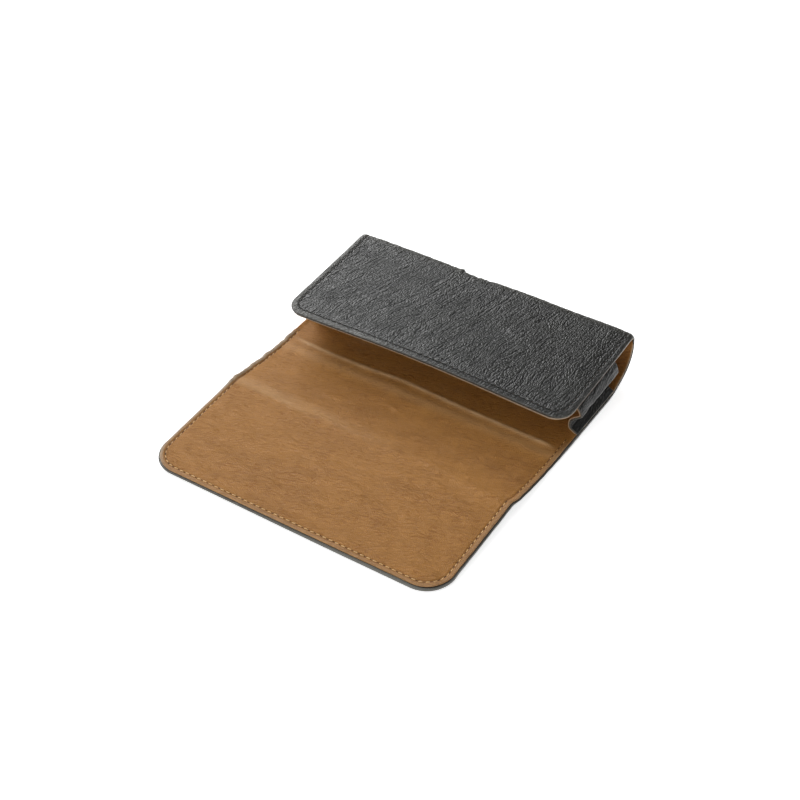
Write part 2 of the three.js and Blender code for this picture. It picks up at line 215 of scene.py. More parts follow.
def shell(name, top, bot, uv, marks, material, lo=0, hi=None):
    """A closed skin between two grids, which share the outline where they meet. lo and hi cut rows out of a longer skin, with its shading unbroken."""
    nt, nb = normals_of(top), normals_of(bot)
    if np.sum(nt * (top - bot)) < 0:
        nt = -nt
    if np.sum(nb * (top - bot)) > 0:
        nb = -nb
    hi = top.shape[0] if hi is None else hi
    top, bot, uv, nt, nb = top[lo:hi], bot[lo:hi], uv[lo:hi], nt[lo:hi], nb[lo:hi]
    marks = {k: v[lo:hi] for k, v in marks.items()}
    n, m, _ = top.shape
    border = np.zeros((n, m), bool)
    border[0, :] = border[-1, :] = border[:, 0] = border[:, -1] = True
    weld = border & (np.linalg.norm(top - bot, axis=2) < 1e-4)
    it = np.arange(n * m).reshape(n, m)
    ib = it.copy()
    ib[~weld] = n * m + np.arange(int((~weld).sum()))
    verts = np.vstack([top.reshape(-1, 3), bot[~weld]])
    nor = np.vstack([np.where(weld[..., None], nt + nb, nt).reshape(-1, 3), nb[~weld]])
    nor /= np.maximum(1e-9, np.linalg.norm(nor, axis=1))[:, None]
    q = np.stack([it[:-1, :-1], it[:-1, 1:], it[1:, 1:], it[1:, :-1]], -1).reshape(-1, 4)
    qb = np.stack([ib[:-1, :-1], ib[1:, :-1], ib[1:, 1:], ib[:-1, 1:]], -1).reshape(-1, 4)
    faces = q.tolist() + qb.tolist()
    rim = []
    for j in range(m - 1):
        rim.append((it[0, j + 1], it[0, j], ib[0, j], ib[0, j + 1]))
        rim.append((it[-1, j], it[-1, j + 1], ib[-1, j + 1], ib[-1, j]))
    for i in range(n - 1):
        rim.append((it[i, 0], it[i + 1, 0], ib[i + 1, 0], ib[i, 0]))
        rim.append((it[i + 1, -1], it[i, -1], ib[i, -1], ib[i + 1, -1]))
    for f in rim:
        g = list(dict.fromkeys(int(k) for k in f))
        if len(g) > 2:
            faces.append(g)
    uvv = np.vstack([uv.reshape(-1, 2), uv[~weld]])
    mk = {k: np.r_[v.reshape(-1), v[~weld]] for k, v in marks.items()}
    return mesh_object(name, verts, faces, uvv, material, mk, nor)


def mesh_object(name, verts, faces, uv, material, marks=None, nor=None):
    verts = np.asarray(verts, float)
    if signed_volume(verts, faces) < 0:
        faces = [list(reversed(f)) for f in faces]
    me = bpy.data.meshes.new(name)
    me.from_pydata(put(verts).tolist(), [], faces)
    me.update()
    layer = me.uv_layers.new(name="flat")
    loops = np.zeros(len(me.loops), np.int32)
    me.loops.foreach_get("vertex_index", loops)
    layer.data.foreach_set("uv", np.asarray(uv, np.float32)[loops].ravel())
    for k, v in (marks or {}).items():
        at_ = me.attributes.new(k, "FLOAT", "POINT")
        at_.data.foreach_set("value", np.asarray(v, np.float32))
    me.polygons.foreach_set("use_smooth", np.ones(len(me.polygons), bool))
    if nor is not None:
        me.normals_split_custom_set_from_vertices(nor.tolist())
    me.materials.append(material)
    ob = bpy.data.objects.new(name, me)
    scene.collection.objects.link(ob)
    return ob


def signed_volume(verts, faces):
    tri = []
    quads = np.array([f for f in faces if len(f) == 4])
    tris = np.array([f for f in faces if len(f) == 3])
    total = 0.0
    c = verts.mean(0)
    v = verts - c
    if len(quads):
        for a, b, d in ((0, 1, 2), (0, 2, 3)):
            total += np.einsum("ij,ij->i", v[quads[:, a]], np.cross(v[quads[:, b]], v[quads[:, d]])).sum()
    if len(tris):
        total += np.einsum("ij,ij->i", v[tris[:, 0]], np.cross(v[tris[:, 1]], v[tris[:, 2]])).sum()
    return total


# ------------------------------------------------------------------------------------------------ materials
class Net:
    """Short words for building a material's nodes."""

    def __init__(self, name):
        self.mat = bpy.data.materials.new(name)
        self.mat.use_nodes = True
        self.nt = self.mat.node_tree
        self.b = self.nt.nodes["Principled BSDF"]

    def link(self, socket, value):
        if hasattr(value, "is_output"):
            self.nt.links.new(value, socket)
        elif isinstance(value, (tuple, list)) and len(value) == 3 and socket.type == "RGBA":
            socket.default_value = (*value, 1)
        else:
            socket.default_value = value

    def math(self, op, a, b=0.0, c=None, clamp=False):
        n = self.nt.nodes.new("ShaderNodeMath")
        n.operation = op
        n.use_clamp = clamp
        self.link(n.inputs[0], a)
        self.link(n.inputs[1], b)
        if c is not None:
            self.link(n.inputs[2], c)
        return n.outputs[0]

    def vec(self, op, a, b=(0, 0, 0)):
        n = self.nt.nodes.new("ShaderNodeVectorMath")
        n.operation = op
        self.link(n.inputs[0], a)
        if op == "SCALE":
            self.link(n.inputs["Scale"], b)
        else:
            self.link(n.inputs[1], b)
        return n.outputs[0]

    def mm(self):
        """Place on the flat skin in millimetres."""
        n = self.nt.nodes.new("ShaderNodeUVMap")
        n.uv_map = "flat"
        return self.vec("MULTIPLY", n.outputs[0], (100, 100, 0))

    def mapping(self, v, loc=(0, 0, 0), rot=(0, 0, 0), scale=(1, 1, 1)):
        n = self.nt.nodes.new("ShaderNodeMapping")
        self.link(n.inputs[0], v)
        n.inputs[1].default_value, n.inputs[2].default_value, n.inputs[3].default_value = loc, rot, scale
        return n.outputs[0]

    def noise(self, v, scale, detail=2.0, rough=0.5, distortion=0.0, dims="2D"):
        n = self.nt.nodes.new("ShaderNodeTexNoise")
        n.noise_dimensions = dims
        self.link(n.inputs["Vector"], v)
        n.inputs["Scale"].default_value = scale
        n.inputs["Detail"].default_value = detail
        n.inputs["Roughness"].default_value = rough
        n.inputs["Distortion"].default_value = distortion
        return n.outputs[0]

    def voronoi(self, v, scale=1.0, feature="DISTANCE_TO_EDGE", randomness=1.0):
        n = self.nt.nodes.new("ShaderNodeTexVoronoi")
        n.voronoi_dimensions = "2D"
        n.feature = feature
        self.link(n.inputs["Vector"], v)
        n.inputs["Scale"].default_value = scale
        n.inputs["Randomness"].default_value = randomness
        return n.outputs["Distance"]

    def attr(self, name):
        n = self.nt.nodes.new("ShaderNodeAttribute")
        n.attribute_name = name
        return n.outputs["Fac"]

    def map(self, value, a, b, c=0.0, d=1.0, smooth=True):
        n = self.nt.nodes.new("ShaderNodeMapRange")
        n.interpolation_type = "SMOOTHSTEP" if smooth else "LINEAR"
        self.link(n.inputs[0], value)
        for i, k in enumerate((a, b, c, d)):
            self.link(n.inputs[1 + i], k)
        return n.outputs[0]

    def mix(self, fac, a, b, kind="MIX"):
        n = self.nt.nodes.new("ShaderNodeMix")
        n.data_type = "RGBA"
        n.blend_type = kind
        n.clamp_factor = True
        self.link(n.inputs[0], fac)
        self.link(n.inputs[6], a)
        self.link(n.inputs[7], b)
        return n.outputs[2]

    def bump(self, height, distance, strength=1.0, normal=None):
        n = self.nt.nodes.new("ShaderNodeBump")
        self.link(n.inputs["Strength"], strength)
        n.inputs["Distance"].default_value = distance
        self.link(n.inputs["Height"], height)
        if normal is not None:
            self.link(n.inputs["Normal"], normal)
        return n.outputs[0]


def black_leather():
    n = Net("black_leather")
    p = n.mm()
    # turn and fan the skin so that creases run along u, and warp it a little so that they wave
    turned = n.mapping(p, rot=(0, 0, math.radians(-73)))
    w1 = n.noise(n.mapping(turned, scale=(0.055, 0.065, 1)), 1.0, 1.0)
    w2 = n.noise(n.mapping(turned, loc=(9, 4, 0), scale=(0.16, 0.2, 1)), 1.0, 1.0)
    sep = n.nt.nodes.new("ShaderNodeSeparateXYZ")
    n.link(sep.inputs[0], p)
    fan = n.math("MULTIPLY", n.math("MULTIPLY", sep.outputs[0], sep.outputs[1]), -0.00154)
    comb = n.nt.nodes.new("ShaderNodeCombineXYZ")
    n.link(comb.inputs[0], n.math("MULTIPLY", n.math("SUBTRACT", w2, 0.5), 3.0))
    shift = n.math("MULTIPLY_ADD", n.math("SUBTRACT", w1, 0.5), 4.0, n.math("MULTIPLY", n.math("SUBTRACT", w2, 0.5), 0.5))
    n.link(comb.inputs[1], n.math("ADD", shift, fan))
    q = n.vec("ADD", turned, comb.outputs[0])
    n1 = n.noise(n.mapping(q, scale=(0.06, 0.42, 1)), 1.0, 0.6, 0.4)
    n2 = n.noise(n.mapping(q, loc=(3, 7, 0), scale=(0.22, 0.80, 1)), 1.0, 0.6, 0.4)
    cell = n.voronoi(n.mapping(q, loc=(1, 2, 0), scale=(0.52, 0.92, 1)))
    patch = n.noise(n.mapping(p, loc=(2, 8, 0), scale=(0.09, 0.09, 1)), 1.0, 2.0)
    c1 = n.map(n.math("ABSOLUTE", n.math("SUBTRACT", n1, 0.5)), 0.0, 0.12)  # 0 in a crease
    c2 = n.map(n.math("ABSOLUTE", n.math("SUBTRACT", n2, 0.5)), 0.0, 0.16)
    c3 = n.map(cell, 0.0, 0.34)
    keep = n.map(patch, 0.34, 0.6, 0.6, 1.0)
    c1 = n.math("SUBTRACT", 1.0, n.math("MULTIPLY", n.math("SUBTRACT", 1.0, c1), keep))
    h = n.math("ADD", n.math("MULTIPLY", c1, 0.42), n.math("MULTIPLY", c2, 0.18))
    h = n.math("ADD", h, n.math("MULTIPLY", c3, 0.30))
    pores = n.noise(n.mapping(p, scale=(2.6, 2.6, 1)), 1.0, 3.0, 0.6)
    h = n.math("ADD", h, n.math("MULTIPLY", pores, 0.07))
    groove, rim = n.attr("groove"), n.attr("rim")
    # the grain's colour is darker in its creases: partly the leather's own tone, partly painted shade in the creases
    tone = n.map(h, 0.35, 1.0, smooth=False)
    col = n.mix(tone, (0.002, 0.002, 0.0018), (0.0235, 0.0238, 0.0205))
    mott = n.noise(n.mapping(p, loc=(5, 1, 0), scale=(0.05, 0.05, 1)), 1.0, 3.0)
    col = n.mix(n.map(mott, 0.3, 0.7, 0.0, 0.15), col, (0.018, 0.0185, 0.016))
    # painted shade: the groove mark darkens the seam grooves toward near black
    col = n.mix(n.math("MULTIPLY", groove, 0.75, clamp=True), col, (0.008, 0.008, 0.0075))
    # the rim mark lightens the skin: partly worn edges, partly a painted highlight along the folds and painted light on
    # the shaded outer edge
    col = n.mix(n.math("MULTIPLY", rim, 0.5, clamp=True), col, (0.125, 0.12, 0.10))
    n.link(n.b.inputs["Base Color"], col)
    rough = n.math("ADD", n.map(h, 0.1, 0.9, 0.50, 0.33), n.math("MULTIPLY", n.math("SUBTRACT", mott, 0.5), 0.12))
    n.link(n.b.inputs["Roughness"], rough)
    n.b.inputs["Specular IOR Level"].default_value = 0.5
    n.b.inputs["IOR"].default_value = 1.48
    n.link(n.b.inputs["Normal"], n.bump(h, 0.00040, n.math("SUBTRACT", 1.0, n.math("MULTIPLY", n.attr("calm"), 0.4))))
    return n.mat


def tan_leather():
    n = Net("tan_lining_leather")
    p = n.mm()
    turned = n.mapping(p, rot=(0, 0, math.radians(19)))
    w = n.noise(n.mapping(turned, scale=(0.09, 0.12, 1)), 1.0, 2.0)
    comb = n.nt.nodes.new("ShaderNodeCombineXYZ")
    n.link(comb.inputs[1], n.math("MULTIPLY", n.math("SUBTRACT", w, 0.5), 4.5))
    q = n.vec("ADD", turned, comb.outputs[0])
    n1 = n.noise(n.mapping(q, scale=(0.13, 0.85, 1)), 1.0, 1.0, 0.5)
    wrinkle = n.map(n.math("ABSOLUTE", n.math("SUBTRACT", n1, 0.5)), 0.0, 0.055)
    wrinkle = n.math("SUBTRACT", 1.0, n.math("MULTIPLY", n.math("SUBTRACT", 1.0, wrinkle), n.map(w, 0.36, 0.6, 0.65, 1.0)))
    streak = n.noise(n.mapping(q, scale=(0.34, 1.7, 1)), 1.0, 3.0, 0.6)
    grain = n.voronoi(n.mapping(q, scale=(1.25, 1.9, 1)))
    pores = n.noise(n.mapping(p, scale=(3.2, 3.8, 1)), 1.0, 3.0, 0.6)
    cloud = n.noise(n.mapping(p, loc=(4, 2, 0), scale=(0.035, 0.05, 1)), 1.0, 4.0, 0.55)
    groove, rim, painted_highlight = n.attr("groove"), n.attr("rim"), n.attr("painted_highlight")
    h = n.math("ADD", n.math("MULTIPLY", streak, 0.36), n.math("MULTIPLY", n.map(grain, 0.0, 0.25), 0.22))
    h = n.math("ADD", h, n.math("MULTIPLY", pores, 0.22))
    h = n.math("ADD", h, n.math("MULTIPLY", wrinkle, 0.28))
    col = n.mix(n.map(h, 0.45, 0.92), (0.285, 0.116, 0.020), (0.445, 0.207, 0.046))
    col = n.mix(n.map(cloud, 0.36, 0.66, 0.0, 0.30), col, (0.44, 0.203, 0.045))
    col = n.mix(n.map(cloud, 0.5, 0.28, 0.0, 0.10), col, (0.27, 0.115, 0.028))
    # painted highlight: this mark lightens the crease ridge, the shade just below the mouth and the lit side of the
    # crest
    col = n.mix(n.math("MULTIPLY", painted_highlight, 0.75, clamp=True), col, (0.80, 0.54, 0.29))
    col = n.mix(n.math("MULTIPLY", rim, 0.62, clamp=True), col, (0.44, 0.36, 0.27))
    # painted shade: the groove mark darkens the seam grooves, the bottom of the pocket, the lining edge over the
    # gussets and the middle of the strip
    col = n.mix(n.math("MULTIPLY", groove, 0.72, clamp=True), col, (0.115, 0.045, 0.013))
    n.link(n.b.inputs["Base Color"], col)
    n.link(n.b.inputs["Roughness"], n.map(h, 0.2, 0.8, 0.62, 0.48))
    n.b.inputs["Specular IOR Level"].default_value = 0.35
    n.b.inputs["IOR"].default_value = 1.46
    n.link(n.b.inputs["Normal"], n.bump(h, 0.00042, 1.0))
    return n.mat


def thread_material(name, dark, light, rough):
    n = Net(name)
    p = n.mm()
    # U runs along a stitch and V round it, so a slanted wave is the twist of the plies
    w = n.nt.nodes.new("ShaderNodeTexWave")
    w.wave_type, w.bands_direction, w.wave_profile = "BANDS", "DIAGONAL", "SIN"
    n.link(w.inputs["Vector"], n.mapping(p, scale=(1.6, 1.0, 1)))
    w.inputs["Scale"].default_value = 0.9
    w.inputs["Distortion"].default_value = 0.4
    f = n.noise(n.mapping(p, scale=(3, 3, 1)), 1.0, 3.0)
    k = n.math("ADD", n.math("MULTIPLY", w.outputs["Fac"], 0.7), n.math("MULTIPLY", f, 0.3))
    n.link(n.b.inputs["Base Color"], n.mix(k, dark, light))
    n.link(n.b.inputs["Roughness"], n.map(f, 0.3, 0.7, rough + 0.08, rough - 0.05))
    n.link(n.b.inputs["Normal"], n.bump(k, 0.00008, 0.8))
    return n.mat


def hole_shade_material():
    n = Net("needle_hole_shade")
    p = n.mm()
    f = n.noise(n.mapping(p, scale=(4, 4, 1)), 1.0, 2.0)
    # near-black brown: painted shade that stands in for the inside of a needle hole
    n.link(n.b.inputs["Base Color"], n.mix(f, (0.012, 0.008, 0.005), (0.05, 0.028, 0.014)))
    n.link(n.b.inputs["Roughness"], n.map(f, 0.3, 0.7, 0.95, 0.8))
    return n.mat


def cad_material(name, kind):
    """For the carried CAD nodes, which have no skin map: noise in object space, in which they never move apart from their body."""
    n = Net(name)
    tc = n.nt.nodes.new("ShaderNodeTexCoord")
    p = tc.outputs["Object"]
    if kind == "board":
        f = n.noise(p, 900.0, 5.0, 0.65, dims="3D")
        g = n.noise(n.mapping(p, scale=(1, 0.25, 1)), 2600.0, 2.0, dims="3D")
        n.link(n.b.inputs["Base Color"], n.mix(n.math("MULTIPLY_ADD", f, 0.7, n.math("MULTIPLY", g, 0.3)), (0.10, 0.085, 0.065), (0.30, 0.27, 0.22)))
        n.link(n.b.inputs["Roughness"], n.map(f, 0.3, 0.7, 0.95, 0.85))
        n.link(n.b.inputs["Normal"], n.bump(f, 0.0001, 0.5))
    else:
        f = n.noise(p, 1500.0, 4.0, 0.6, dims="3D")
        g = n.noise(n.mapping(p, scale=(1, 12, 12)), 220.0, 3.0, dims="3D")
        pale = (0.62, 0.60, 0.56) if kind == "nickel" else (0.36, 0.36, 0.37)
        dull = (0.42, 0.40, 0.37) if kind == "nickel" else (0.20, 0.20, 0.21)
        n.link(n.b.inputs["Base Color"], n.mix(n.map(f, 0.35, 0.7), dull, pale))
        n.b.inputs["Metallic"].default_value = 1.0
        n.link(n.b.inputs["Roughness"], n.map(g, 0.3, 0.7, 0.42, 0.22) if kind == "nickel" else n.map(g, 0.3, 0.7, 0.6, 0.38))
        n.link(n.b.inputs["Normal"], n.bump(g, 0.00002, 0.4))
    return n.mat


BLACK, TAN, HOLE_SHADE = black_leather(), tan_leather(), hole_shade_material()
BLACK_THREAD = thread_material("black_thread", (0.006, 0.006, 0.006), (0.075, 0.075, 0.07), 0.24)
PALE_THREAD = thread_material("pale_thread", (0.58, 0.30, 0.085), (1.0, 0.74, 0.36), 0.36)
BOARD, NICKEL, STEEL = cad_material("fibre_board", "board"), cad_material("magnet_nickel", "nickel"), cad_material("steel_disc", "steel")

# ------------------------------------------------------------------------------------------------ outer skin, front part
NOTCH_X = -16.0


def front_relief(x, t, grain=1.0):
    """Height of the outer skin over its smooth profile, in mm, on the front panel, the fold and the bottom."""
    d = front_d(x, t)
    on_front = 1 - ss(T_FOLD - 3, T_FOLD + 3, t)
    g = creased(x, t) * 0.185 * grain * (1 - 0.38 * ss(-10, 62, x))  # the creases are flatter to the right
    calm = 1 - 0.55 * ss(5.4, 4.2, d) * on_front
    # seam groove, and a rim outside it that is proud at the left and flat at the right
    side = np.abs(x) > (HALF - FRONT_R + 0.3)
    seam = np.where(front_seam_mask(x, t), 1.0, 0.0)
    groove = bell(front_seam_d(x, t), 0, 0.55)
    h = g * calm - 0.30 * groove * on_front
    left = ss(10, -60, x)
    h = h + 0.12 * ss(4.6, 3.0, d) * ss(0.2, 1.2, d) * on_front * (0.6 + 0.6 * left)
    # the panel is softly padded inside the seam
    h = h + 0.22 * ss(4.4, 11.0, d) * on_front - 0.1 * on_front
    # slack, shallow waves
    h = h + 0.22 * gn(x / 26, t / 20, 71) * ss(2, 12, d)
    # torn edge at the fold: proud to the left of the notch, ragged to the right of it
    fold = bell(t, T_FOLD - 0.5, 3.2)
    torn = ss(NOTCH_X, NOTCH_X + 0.7, x) * ss(4.0, -6.0, x)
    h = h - fold * torn * (0.62 + 0.28 * gn(x / 0.9, t / 2.0, 72) + 0.3 * gn(x / 2.3, 3.3, 73))
    h = h + fold * bell(x, NOTCH_X - 0.5, 1.2) * 0.45
    h = h + fold * 0.10 * gn(x / 3.0, t / 3, 74)
    h = h - bell(t, T_FOLD + 1.0, 5.0) * np.where(x > 0, 1.2, 0.35) * ss(3.2, 0.0, HALF - np.abs(x)) ** 1.5
    return h


FRONT_SEAM = 3.55


def front_seam_d(x, t):
    """Distance from the seam line, which runs round the mouth end and the two sides of the front panel."""
    d = front_d(x, t)
    side = np.where(np.abs(x) > np.abs(HALF - np.minimum(t, 8)), 2.9, FRONT_SEAM)
    k = seam_inset(x, t)
    return d - k


def seam_inset(x, t):
    """How far the seam is from the outline: 3.7 mm at the mouth and 2.9 mm along the sides."""
    s = ss(3.0, 14.0, t)
    return 3.7 - 0.8 * s


def front_seam_mask(x, t):
    return t < T_FOLD


def front_thickness(x, t):
    d = front_d(x, t)
    front = 0.75 + 0.38 * ss(5.0, 3.6, d)
    back = 0.80 + 0.85 * ss(5.0, 3.4, HALF - np.abs(x))
    bottom = np.full_like(d, 1.0)
    a = ss(T_FOLD - 4, T_FOLD + 2, t)
    b = ss(T_BACK - 3, T_BACK + 3, t)
    return (front * (1 - a) + bottom * a) * (1 - b) + back * b


def front_surface(x, t, lift, grain=1.0):
    """Points on the outer face of the wrapped skin, raised by lift along its normal."""
    y, z, ny, nz = wrap(t)
    h = front_relief(x, t, grain) + lift
    zz = z + bow(x, y) * (t < T_FOLD)
    return np.stack([x + 0 * t, y + ny * h, zz + nz * h], -1)


def wrap_grid(step_x, rows, half_at, edge=EDGE):
    c = columns(step_x, HALF, edge)
    t = np.repeat(rows[:, None], len(c), 1)
    x = half_at(rows)[:, None] * c[None, :]
    return x, t


def rounded_half(w, r, e):
    k = np.clip(e, 0, r)
    return w - r + np.sqrt(np.maximum(0, r * r - (r - k) ** 2))


def make_front_skin():
    a = spread([0, 0.012, 0.05, 0.11, 0.2, 0.33, 0.5, 0.75, 1.05, 1.4, 1.8, 2.2, 2.6, 2.95, 3.25, 3.5, 3.7, 3.9, 4.15, 4.5, 5.0, 5.6], T_FOLD - 6, 0.96)
    b = np.arange(a[-1] + 0.5, T_FOLD + 7, 0.5)
    c = np.linspace(b[-1], T_BACK, 16)[1:]
    e = np.linspace(T_BACK, WRAP_LENGTH, 14)[1:]
    rows = np.r_[a, b, c, e]
    over = -0.1 * ss(T_FOLD - 30, T_FOLD, rows) + 0.2 * ss(T_FOLD + 4, T_BACK - 8, rows) + 0.35 * ss(T_BACK - 6, T_BACK + 4, rows)
    half = rounded_half(HALF, FRONT_R, rows) + over
    x, t = wrap_grid(0.475, rows, lambda r: half)
    d = front_d(np.clip(x, -HALF, HALF) * (HALF / np.maximum(HALF, half))[:, None], t)
    d = np.minimum(d, half[:, None] - np.abs(x))
    d[:, 0] = d[:, -1] = 0
    d[0, :] = 0
    thick = front_thickness(x, t)
    k = edge_round(d, 0.42)
    k = np.where(np.arange(len(rows))[:, None] == len(rows) - 1, edge_round(half[:, None] - np.abs(x), 0.42), k)
    outer = front_surface(x, t, 0.0)
    y, z, ny, nz = wrap(t)
    n = np.stack([0 * x, ny, nz], -1)
    base = front_surface(x, t, 0.0, 0.0)
    middle = base - n * (thick * 0.5)[..., None]
    top = middle + (outer - middle) * k[..., None]
    bot = middle - n * (thick * 0.5)[..., None] * k[..., None]
    uv = np.stack([x * 0.01, t * 0.01], -1)
    gd = front_seam_d(x, t)
    on = 1 - ss(T_FOLD - 3, T_FOLD + 1, t)
    # painted shade along the seam groove
    groove = bell(gd, 0, 0.42) * on + 0.0 * x
    rim = (ss(1.0, 0.15, d) * 0.45 + bell(d, 1.4, 1.0) * 0.55 * ss(20, -50, x)) * on
    # painted highlight: a lighter band along the rounded fold
    rim = rim + bell(t, T_FOLD - 1.5, 2.6) * 0.75
    ob = shell("leather_front", top, bot, uv, {"groove": groove, "rim": rim, "calm": ss(5.0, 4.2, d) * on}, BLACK)
    return ob


front_skin = make_front_skin()
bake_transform(front_skin)
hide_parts("front_outer_leather", "bottom_outer_leather")


# ------------------------------------------------------------------------------------------------ lining inside the pocket
def make_front_lining():
    start = 0.0
    a = spread([0, 0.012, 0.05, 0.12, 0.22, 0.36, 0.6, 1.0, 1.6, 2.4, 3.4, 4.4, 5.4], T_FOLD - 6, 1.5)
    b = np.arange(a[-1] + 0.6, T_FOLD + 7, 0.6)
    c = np.linspace(b[-1], T_BACK, 14)[1:]
    e = np.linspace(T_BACK, WRAP_LENGTH, 9)[1:]
    rows = np.r_[a, b, c, e]
    over = -0.2 - 0.1 * ss(T_FOLD - 30, T_FOLD, rows) + 0.2 * ss(T_FOLD + 4, T_BACK - 8, rows) + 0.25 * ss(T_BACK - 6, T_BACK + 4, rows)
    half = rounded_half(HALF, FRONT_R, rows) + over
    c_edge = [0, 0.02, 0.06, 0.13, 0.25, 0.5, 1.0, 1.8, 2.8, 3.9, 5.2]
    x, t = wrap_grid(1.7, rows, lambda r: half, c_edge)
    d = np.minimum(front_d(np.clip(x, -HALF, HALF), t), half[:, None] - np.abs(x))
    d[:, 0] = d[:, -1] = 0
    d[0, :] = 0
    # the lining stops a little short of the leather at the left of the mouth and is flush at the right
    t_in = t + (0.34 - 0.36 * ss(-30, 55, x)) * np.exp(-((t / 4.0) ** 2))
    y, z, ny, nz = wrap(t_in)
    n = np.stack([0 * x, ny, nz], -1)
    edge = ss(5.0, 3.6, front_d(x, t))
    to_bottom = ss(T_FOLD - 4, T_FOLD + 2, t)
    to_back = ss(T_BACK - 3, T_BACK + 3, t)
    outer = (1.59 - 0.42 * edge) * (1 - to_bottom) + 1.12 * to_bottom
    inner = (2.05 - 0.35 * edge) * (1 - to_bottom) + 1.77 * to_bottom
    outer = outer * (1 - to_back) + (1.85 - 0.18 * ss(5.0, 3.4, HALF - np.abs(x))) * to_back
    inner = inner * (1 - to_back) + 2.5 * to_back
    relief = front_relief(x, t, 0.0) * (1 - to_bottom)
    inner = inner - 0.05 * gn(x / 7, t / 5, 31)
    base = np.stack([x, y, z + bow(x, y) * (t < T_FOLD)], -1) + n * relief[..., None]
    k = edge_round(d, 0.2)
    k[-1] = edge_round(half[-1] - np.abs(x[-1]), 0.2)
    mid = 0.5 * (outer + inner)
    top = base - n * (mid + (inner - mid) * k)[..., None]
    bot = base - n * (mid + (outer - mid) * k)[..., None]
    uv = np.stack([x * 0.01, t * 0.01], -1)
    front = 1 - ss(T_FOLD - 3, T_FOLD + 3, t)
    gusset_edge_shade = ss(10, 15, t) * ss(51, 46, t) * ss(1.6, 0.8, HALF - np.abs(x))  # lining edge over the gusset, carrying painted shade that darkens it nearly to black-brown
    rim = ss(0.6, 0.1, d) * (1 - gusset_edge_shade)
    # painted shade toward the bottom fold of the pocket, and along the lining edge over the gusset
    dark = np.maximum(ss(T_FOLD - 8, T_FOLD + 2, t) * ss(0.5, 1.2, d) * 0.55, 1.39 * gusset_edge_shade)
    ob = shell("lining_pocket", top, bot, uv, {"groove": dark, "rim": rim * 1.3, "painted_highlight": 0 * x}, TAN)
    return ob


pocket_lining = make_front_lining()
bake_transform(pocket_lining)
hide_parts("front_lining", "bottom_lining")


# ------------------------------------------------------------------------------------------------ back, strip and flap
def crest(x, y):
    """Extra height from the crease relief on the tan face."""
    ridge1_y = np.interp(x, [-66, -60, -45, -30, -10, 5, 25, 45, 66], [2.4, 1.8, 1.1, 1.4, 2.9, 2.2, 1.2, 0.9, 0.4]) + 0.35 * gn(x / 6, 1.5, 41)
    k1 = 0.70 * bell(y - ridge1_y, 0, 1.05) * ss(69, 60, np.abs(x)) * (0.8 + 0.35 * gn(x / 9, 2.5, 42))
    k1 = k1 - 0.28 * bell(y - ridge1_y, -3.1, 1.9) * ss(70, 60, np.abs(x))
    # soft main crest, which bows towards the pocket in the middle
    mid = 1 - (np.abs(x) / 70) ** 2
    k2 = 0.42 * bell(y, -38.6, 4.0) * mid - 0.30 * bell(y, -45.6, 3.4) * mid
    k2 = k2 + 0.30 * bell(y, -42.5, 2.2) * (1 - mid)
    return k1 + k2


def ripples(x, y):
    """Small folds of the lining in the strip, stronger to the left, a pucker, and slow waves in the flap."""
    strip = ss(-46, -38, y) * ss(5, -3, y)
    r = 0.16 * gn(x / 9 + 3, y / 2.6, 51) * strip * (0.5 + 0.6 * ss(-20, -65, x))
    r = r + 0.10 * gn(x / 5, y / 1.7, 52) * strip * ss(-30, -66, x)
    r = r + 0.40 * bell(np.hypot((x + 3.5) * 0.55 + (y + 17.5) * 0.25, (y + 17.5)), 2.4, 1.1) * 0.5
    r = r - 0.32 * bell(np.hypot((x + 3.5) * 0.6, (y + 17.5)), 0, 1.7)
    r = r + 0.20 * gn(x / 30, y / 24, 53) * ss(-44, -52, y) + 0.12 * gn(x / 15, y / 11, 54)
    r = r + 0.10 * gn(x / 22, y / 4.2, 55) * ss(-44, -60, y)
    return r


LINING_IN = 0.7
STRIP_SEAM = 2.9


def rim_strength(x, y):
    """Raised band outside the seam: strong and wavy along the left of the strip."""
    left = ss(-60, -68, x) * ss(-50, -40, y)
    return left


def tan_face(x, y, fine=1.0):
    d = flap_d(x, y)
    z = tan_base(y) + crest(x, y) + ripples(x, y) * ss(0.5, 7, d)
    on = ss(8.5, 3.0, y)
    z = z - (0.26 * bell(d, STRIP_SEAM, 0.5)) * on
    z = z + 0.12 * ss(2.6, 1.8, d) * ss(0.2, 1.0, d) * on
    left = rim_strength(x, y)
    z = z + left * (0.55 + 0.25 * gn(y / 4.0, 0.5, 61)) * bell(d, 1.2, 1.2)
    z = z + 0.18 * ss(3.4, 7.5, d) * on - 0.12 * on
    # fine relief of the grain, fading out at the outline
    z = z + fine * (0.022 * gn(x / 1.3, y / 0.75, 62) + 0.03 * gn(x / 3.1, y / 1.3, 63)) * ss(0.3, 2, d)
    return z


def outline_wave(x, y):
    """Hand-cut waviness of the outline, in mm, stronger along the left of the strip."""
    left = ss(-60, -68, x) * ss(-48, -40, y) * ss(20, 10, y)
    return 0.10 * gn(y / 5 + 3, x / 12, 64) + left * (0.45 * gn(y / 3.6, 7.7, 65) + 0.2 * gn(y / 1.6, 3.7, 66))


def leather_top(x, y):
    """Inner face of the outer leather."""
    d = flap_d(x, y)
    face = tan_face(x, y, 0.0)
    inside = ss(3.4, 5.2, d)
    strip = ss(-46.5, -43.5, y) * ss(2.2, -0.5, y)  # no board in the strip
    depth = 0.74 + (0.93 * ss(-0.5, 2.2, y) + 0.98 * ss(-43.5, -46.5, y)) * inside * (1 - strip)
    gap = 0.5 * ss(52, 67, x) * ss(-86, -97, y) * ss(7, 1, d)
    lip = 0.55 * ss(0.75, 0.45, d) * ss(-10, 60, x) * ss(-60, -90, y)
    return face - depth - gap + lip


